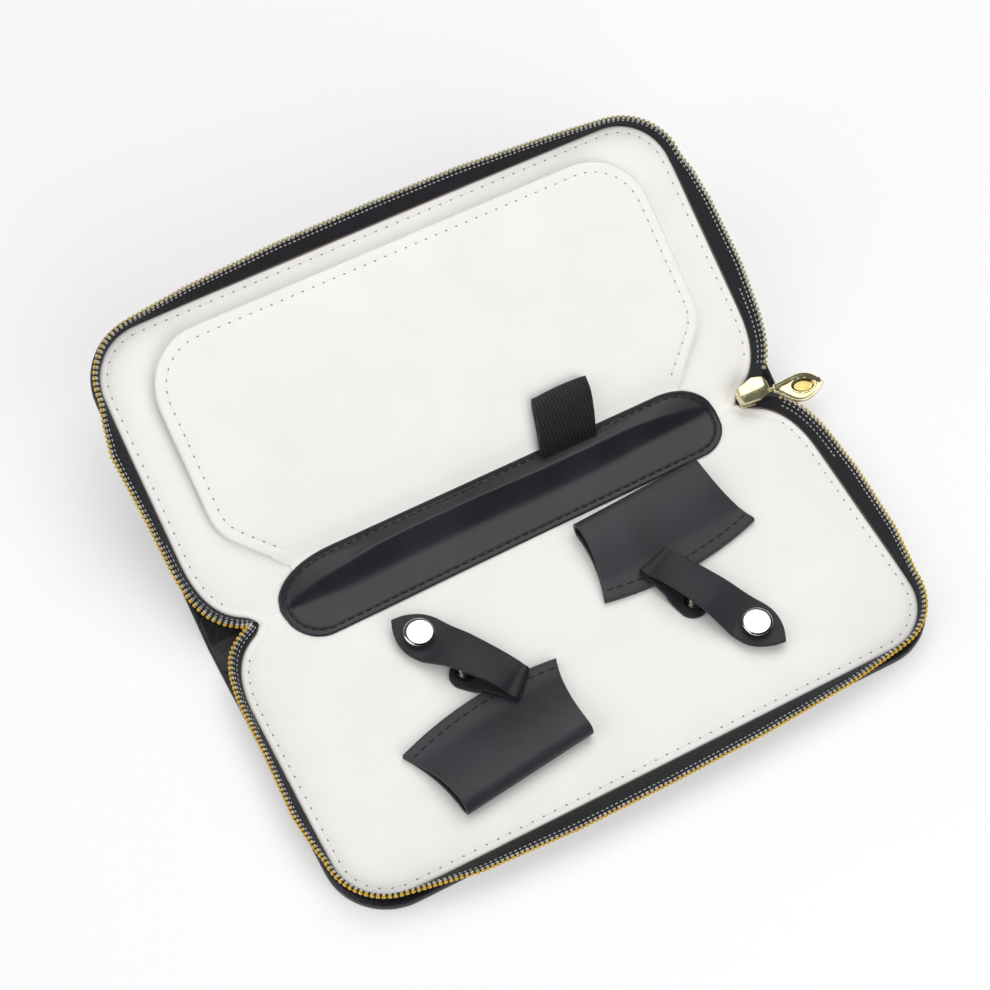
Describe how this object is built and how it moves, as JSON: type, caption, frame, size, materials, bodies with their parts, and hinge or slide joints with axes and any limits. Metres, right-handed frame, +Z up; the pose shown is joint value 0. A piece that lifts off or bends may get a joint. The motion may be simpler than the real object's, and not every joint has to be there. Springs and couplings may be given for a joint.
{
  "type": "fountain pen case",
  "caption": "Zip-around book case for fountain pens, opened out, with leather pen sleeves, snap straps, a divider page and an elastic loop along its folding spine.",
  "frame": {"origin": "middle of the lower leaf, on the underside of its cover", "axes": "+X along the spine towards the zip slider, +Y from the front edge towards the spine, +Z up from the table"},
  "size_m": [0.2101, 0.1958, 0.0578],
  "materials": {
    "outer_leather": "fine grain, satin",
    "cream_leather": "smooth, matte",
    "cream_cloth": "matte",
    "black_leather": "smooth, satin",
    "black_elastic": "woven, matte",
    "nickel": "polished",
    "zip_tape": "woven, matte",
    "gold_metal": "polished pale gold",
    "stiff_board": "hidden",
    "padding": "hidden"
  },
  "bodies": {
    "lower_leaf": {"lower_cover": "outer_leather", "lower_board": "stiff_board", "lower_lining": "cream_leather", "lower_zip_tape": "zip_tape", "lower_zip_teeth": "gold_metal", "left_pen_sleeve": "black_leather", "left_strap_base": "black_leather", "left_snap_stud": "nickel", "right_pen_sleeve": "black_leather", "right_strap_base": "black_leather", "right_snap_stud": "nickel"},
    "spine": {"spine_cover": "outer_leather", "spine_filler": "padding", "spine_lining": "cream_leather", "spine_strip": "black_leather", "pen_loop": "black_elastic", "left_zip_end": "zip_tape", "right_zip_end": "zip_tape", "zip_slider": "gold_metal", "slider_bail": "gold_metal"},
    "upper_leaf": {"upper_cover": "outer_leather", "upper_board": "stiff_board", "upper_lining": "cream_leather", "upper_zip_tape": "zip_tape", "upper_zip_teeth": "gold_metal"},
    "divider": {"divider_front": "cream_leather", "divider_core": "padding", "divider_back": "cream_cloth"},
    "pull_tab": {"pull_tab": "gold_metal"},
    "left_strap": {"left_strap_tongue": "black_leather", "left_snap_cap": "nickel", "left_snap_socket": "nickel"},
    "right_strap": {"right_strap_tongue": "black_leather", "right_snap_cap": "nickel", "right_snap_socket": "nickel"}
  },
  "joints": [
    {"name": "case_fold", "type": "hinge", "parent": "lower_leaf", "child": "spine", "pos_m": [0, 0.04315, 0.0006], "axis": [-1, 0, 0], "range_deg": [-76.25, 13.75], "deforming": ["spine_filler", "spine_lining", "spine_strip", "left_zip_end", "right_zip_end"]},
    {"name": "upper_fold", "type": "hinge", "parent": "spine", "child": "upper_leaf", "pos_m": [0, 0.06674, 0.00637], "axis": [-1, 0, 0], "range_deg": [-76.25, 13.75], "deforming": ["pen_loop"]},
    {"name": "divider_swing", "type": "hinge", "parent": "upper_leaf", "child": "divider", "pos_m": [0, 0.06564, 0.01065], "axis": [-1, 0, 0], "range_deg": [-0.5, 2.25]},
    {"name": "tab_swing", "type": "hinge", "parent": "spine", "child": "pull_tab", "pos_m": [0.0917, 0.05311, 0.01099], "axis": [-0.4305, -0.8767, -0.2145], "range_deg": [0, 100]},
    {"name": "left_strap_lift", "type": "hinge", "parent": "lower_leaf", "child": "left_strap", "pos_m": [-0.0237, 0.0001, 0.00865], "axis": [0.8339, 0.5519, 0], "range_deg": [0, 120], "deforming": ["left_strap_tongue"]},
    {"name": "right_strap_lift", "type": "hinge", "parent": "lower_leaf", "child": "right_strap", "pos_m": [0.03, 0.016, 0.00865], "axis": [-0.887, -0.4617, 0], "range_deg": [0, 120], "deforming": ["right_strap_tongue"]}
  ],
  "couplings": [
    {"joint": "upper_fold", "follows": "case_fold", "ratio": 1},
    {"joint": "divider_swing", "follows": "case_fold", "ratio": -0.02885}
  ]
}
